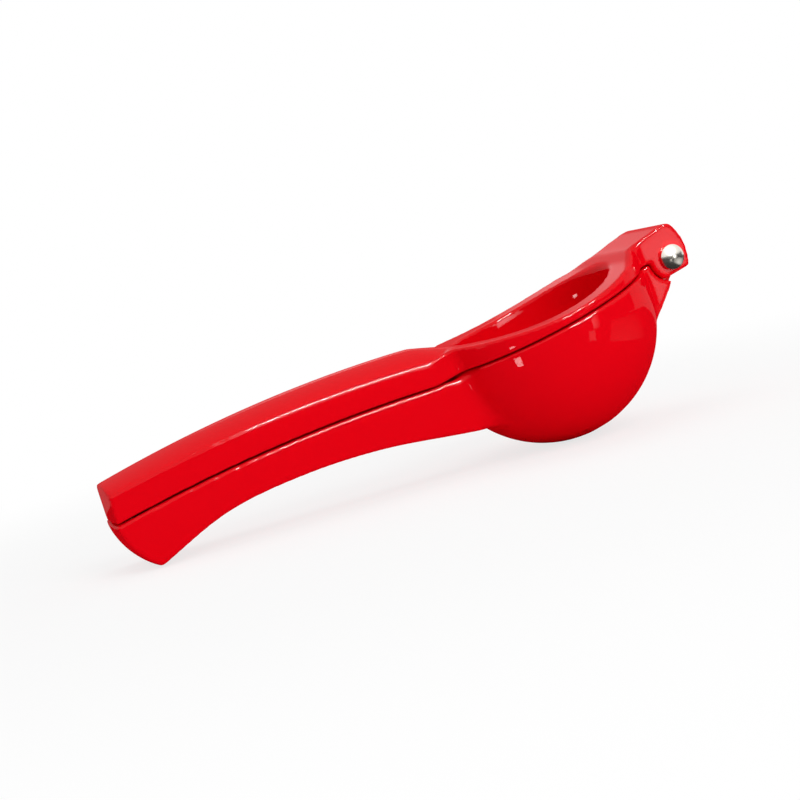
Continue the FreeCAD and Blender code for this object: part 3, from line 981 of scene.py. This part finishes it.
def addFlag():
    # The dark cloth keeps the glossy sides deep red. Only the gloss sees it, so it takes no
    # light away.
    low, high = flagShape["low"], flagShape["high"]
    bpy.ops.object.select_all(action="DESELECT")
    bpy.ops.mesh.primitive_cylinder_add(vertices=96, radius=flagShape["distance"], depth=high - low,
                                        end_fill_type="NOTHING",
                                        location=(aimPoint.x, 0, (low + high) / 2))
    flag = settle("flag")
    bpy.ops.object.mode_set(mode="EDIT")
    for degrees, keep in ((flagShape["start"], 1), (flagShape["end"], -1)):
        a = math.radians(degrees)
        bpy.ops.mesh.select_all(action="SELECT")
        bpy.ops.mesh.bisect(plane_co=(aimPoint.x, 0, 0), plane_no=(math.cos(a), math.sin(a), 0),
                            clear_inner=keep > 0, clear_outer=keep < 0)
    bpy.ops.object.mode_set(mode="OBJECT")
    flag.visible_camera = False
    flag.visible_diffuse = False
    flag.visible_shadow = False
    material = bpy.data.materials.new("flagCloth")
    material.use_nodes = True
    shader = material.node_tree.nodes["Principled BSDF"]
    grey = flagShape["grey"]
    shader.inputs["Base Color"].default_value = (grey, grey, grey, 1)
    shader.inputs["Roughness"].default_value = 1.0
    shader.inputs["Specular IOR Level"].default_value = 0.0
    flag.data.materials.append(material)


def addCard(name, place, aim, size, watts):
    # A rectangular lamp that the camera doesn't see.
    data = bpy.data.lights.new(name, "AREA")
    data.shape = "RECTANGLE"
    data.size, data.size_y = size
    data.energy = watts
    card = bpy.data.objects.new(name, data)
    bpy.context.scene.collection.objects.link(card)
    card.location = place
    card.rotation_euler = (aim - card.location).to_track_quat("-Z", "Y").to_euler()
    card.visible_camera = False
    return card


def addLamp(name, azimuth, elevation, distance, size, radiance, onlyGloss=False, noGloss=False):
    watts = radiance * math.pi * size[0] * size[1]
    card = addCard(name, towards(azimuth, elevation, distance), aimPoint, size, watts)
    card.visible_diffuse = not onlyGloss
    card.visible_glossy = not noGloss


def addGlint(name, place, aim, size, radiance, beam=179.0):
    # A card that shows only in the object's gloss. Its beam is in degrees, and a narrow one is
    # brighter for its watts, which the last factor takes back.
    half = math.radians(beam) / 2
    watts = radiance * math.pi * size[0] * size[1] * (1 - half / math.tan(half))
    card = addCard(name, Vector(place), Vector(aim), size, watts)
    card.data.spread = math.radians(beam)
    card.visible_diffuse = False


def addMat():
    # Like the flag, only the gloss sees it.
    bpy.ops.object.select_all(action="DESELECT")
    bpy.ops.mesh.primitive_plane_add(size=1, location=matShape["place"])
    bpy.ops.transform.resize(value=(*matShape["size"], 1))
    mat = settle("frontMat")
    mat.visible_camera = False
    mat.visible_diffuse = False
    mat.visible_shadow = False
    mat.data.materials.append(bpy.data.materials["flagCloth"])


lamps = {
    "overhead": {"azimuth": 180, "elevation": 80, "distance": 1.3, "size": (0.9, 0.9),
                 "radiance": 1.4, "noGloss": True},
    "front": {"azimuth": 15, "elevation": 34, "distance": 1.2, "size": (0.55, 1.0),
              "radiance": 3.8},
    "strip": {"azimuth": 18, "elevation": 33, "distance": 1.0, "size": (0.5, 0.16),
              "radiance": 100, "onlyGloss": True},
}

glints = {
    "behind": {"place": (0.344, 1.094, 0.421), "aim": (0.078, 0, 0.055), "size": (0.7, 0.3),
               "radiance": 3.8, "beam": 20},
    "earCard": {"place": (0.2, -0.22, 0.040), "aim": (0.0977, -0.0146, 0.050),
                "size": (0.08, 0.07), "radiance": 5.2, "beam": 22},
    "bowlPatch": {"place": (0.093, -0.12, 0.012), "aim": (0.053, -0.037, 0.034),
                  "size": (0.013, 0.018), "radiance": 1.6},
    "bowlWindow": {"place": (-0.0125, -0.061, 0.0105), "aim": (0.028, -0.03, 0.032),
                   "size": (0.008, 0.010), "radiance": 20, "beam": 50},
    "cupWindow": {"place": (0.0567, 0.0094, 0.0425), "aim": (0.0486, 0.0277, 0.0420),
                  "size": (0.005, 0.005), "radiance": 12, "beam": 70},
    "cupSpark": {"place": (0.0687, 0.0161, 0.0429), "aim": (0.0724, 0.0164, 0.0444),
                 "size": (0.001, 0.001), "radiance": 25, "beam": 60},
    "rivetCard": {"place": (0.145, -0.045, 0.002), "aim": (0.097, -0.017, 0.050),
                  "size": (0.11, 0.07), "radiance": 0.9, "beam": 90},
}

print("lighting")
addCamera()
addWorld()
addFloor()
addFlag()
addMat()
for name, lamp in lamps.items():
    addLamp(name, **lamp)
for name, glint in glints.items():
    addGlint(name, **glint)
bpy.context.scene.view_settings.view_transform = "Standard"
